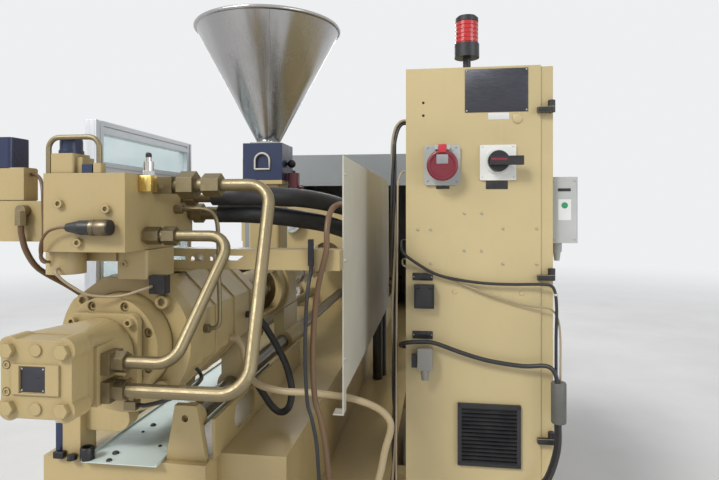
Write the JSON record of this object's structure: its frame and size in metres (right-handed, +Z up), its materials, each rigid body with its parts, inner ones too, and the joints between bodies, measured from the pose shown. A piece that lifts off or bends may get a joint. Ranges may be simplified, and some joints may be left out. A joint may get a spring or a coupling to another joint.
{
  "type": "injection moulding machine",
  "caption": "Hydraulic injection moulding machine: cast injection unit with hopper on a welded bed, guarded clamp at the back and a control cabinet at the side",
  "frame": {"origin": "Middle of the bounding box's footprint, on the floor", "axes": "+Z up, +Y along the screw from the motor end to the clamp, +X from the screw axis to the control cabinet"},
  "size_m": [1.74, 4.87, 2.3253],
  "materials": {
    "cast_paint": "satin cream enamel over castings",
    "sheet_paint": "smooth ivory sheet metal paint",
    "guard_paint": "grey sheet metal paint",
    "ground_steel": "ground and turned steel",
    "hopper_steel": "brushed sheet steel",
    "zinc": "yellow passivated zinc plating",
    "navy_paint": "dark blue enamel",
    "black_plastic": "matte black moulding",
    "grey_plastic": "grey moulding",
    "red_plastic": "red moulding",
    "red_lens": "translucent red lens",
    "maroon_paint": "maroon enamel",
    "cast_iron": "dark cast iron",
    "white_plate": "white sheet",
    "panel_paint": "grey-white textured paint",
    "aluminium": "anodised extrusion",
    "clear_pane": "tinted clear pane",
    "hose_rubber": "black hose cover",
    "white_plastic": "white moulding"
  },
  "bodies": {
    "root": {"bed": "cast_paint", "levelling_feet": "cast_iron", "drip_tray": "white_plate", "guide_pedestal": "cast_paint", "guide_rods": "ground_steel", "fixed_platen": "cast_paint", "tie_bars": "ground_steel", "cylinder_platen": "cast_paint", "clamp_cylinder": "cast_paint", "clamp_cover": "guard_paint", "guard_frame": "aluminium", "guard_panes": "clear_pane", "cabinet": "sheet_paint", "beacon_body": "black_plastic", "beacon_lens": "red_lens", "cee_socket": "grey_plastic", "switch_plate": "white_plastic", "wall_socket": "black_plastic", "hood_connector": "grey_plastic", "filter_grille": "black_plastic", "cabinet_cables": "hose_rubber"},
    "carriage": {"motor_cover": "cast_paint", "motor_body": "cast_paint", "bearing_disc": "cast_paint", "ring_flange": "cast_paint", "injection_housing": "cast_paint", "lantern": "cast_paint", "pillar": "cast_paint", "manifold_block": "cast_paint", "valve_bodies": "cast_paint", "valve_caps": "navy_paint", "front_connector": "black_plastic", "transducer": "ground_steel", "pipe_fittings": "zinc", "long_pipe": "zinc", "short_pipe": "zinc", "pilot_tube": "zinc", "barrel": "ground_steel", "heater_bands": "ground_steel", "feed_block": "cast_paint", "hopper_block": "navy_paint", "hopper": "hopper_steel", "water_valve": "maroon_paint", "cross_beam": "cast_paint", "side_panel": "panel_paint", "unit_cables": "hose_rubber", "carriage_hoses": "hose_rubber"},
    "injection_piston": {"injection_piston": "ground_steel"},
    "screw": {"screw": "ground_steel"},
    "moving_platen": {"moving_platen": "cast_paint"},
    "ejector": {"ejector": "ground_steel"},
    "front_gate": {"front_gate": "sheet_paint"},
    "rear_gate": {"rear_gate": "sheet_paint"},
    "cabinet_door": {"cabinet_door": "sheet_paint", "door_box": "grey_plastic"},
    "switch_knob": {"switch_knob": "black_plastic"},
    "cee_lid": {"cee_lid": "red_plastic"},
    "socket_lid": {"socket_lid": "black_plastic"},
    "hood_lever": {"hood_lever": "black_plastic"},
    "hopper_shutter": {"hopper_shutter": "black_plastic"}
  },
  "joints": [
    {"name": "carriage_slide", "type": "slide", "parent": "root", "child": "carriage", "axis": [0, 1, 0], "range_m": [-0.25, 0], "deforming": ["carriage_hoses"]},
    {"name": "injection_slide", "type": "slide", "parent": "carriage", "child": "injection_piston", "axis": [0, 1, 0], "range_m": [-0.15, 0]},
    {"name": "screw_spin", "type": "hinge", "parent": "injection_piston", "child": "screw", "pos_m": [-0.251, -1.125, 1.27], "axis": [0, 1, 0], "continuous": true},
    {"name": "clamp_slide", "type": "slide", "parent": "root", "child": "moving_platen", "axis": [0, 1, 0], "range_m": [-0.18, 0.18]},
    {"name": "ejector_slide", "type": "slide", "parent": "moving_platen", "child": "ejector", "axis": [0, 1, 0], "range_m": [-0.09, 0]},
    {"name": "front_gate_slide", "type": "slide", "parent": "root", "child": "front_gate", "axis": [0, 1, 0], "range_m": [0, 0.9]},
    {"name": "rear_gate_slide", "type": "slide", "parent": "root", "child": "rear_gate", "axis": [0, 1, 0], "range_m": [0, 0.9]},
    {"name": "door_hinge", "type": "hinge", "parent": "root", "child": "cabinet_door", "pos_m": [0.784, -1.613, 1.05], "axis": [0, 0, 1], "range_deg": [-90, 0]},
    {"name": "switch_turn", "type": "hinge", "parent": "root", "child": "switch_knob", "pos_m": [0.63, -1.626, 1.715], "axis": [0, 1, 0], "range_deg": [-90, 0]},
    {"name": "cee_lid_hinge", "type": "hinge", "parent": "root", "child": "cee_lid", "pos_m": [0.465, -1.6573, 1.756], "axis": [1, 0, 0], "range_deg": [-90, 0]},
    {"name": "socket_lid_hinge", "type": "hinge", "parent": "root", "child": "socket_lid", "pos_m": [0.411, -1.6403, 1.341], "axis": [1, 0, 0], "range_deg": [-90, 0]},
    {"name": "hood_lever_turn", "type": "hinge", "parent": "root", "child": "hood_lever", "pos_m": [0.382, -1.6203, 1.117], "axis": [1, 0, 0], "range_deg": [-60, 0]},
    {"name": "shutter_slide", "type": "slide", "parent": "carriage", "child": "hopper_shutter", "axis": [1, 0, 0], "range_m": [0, 0.06]}
  ]
}
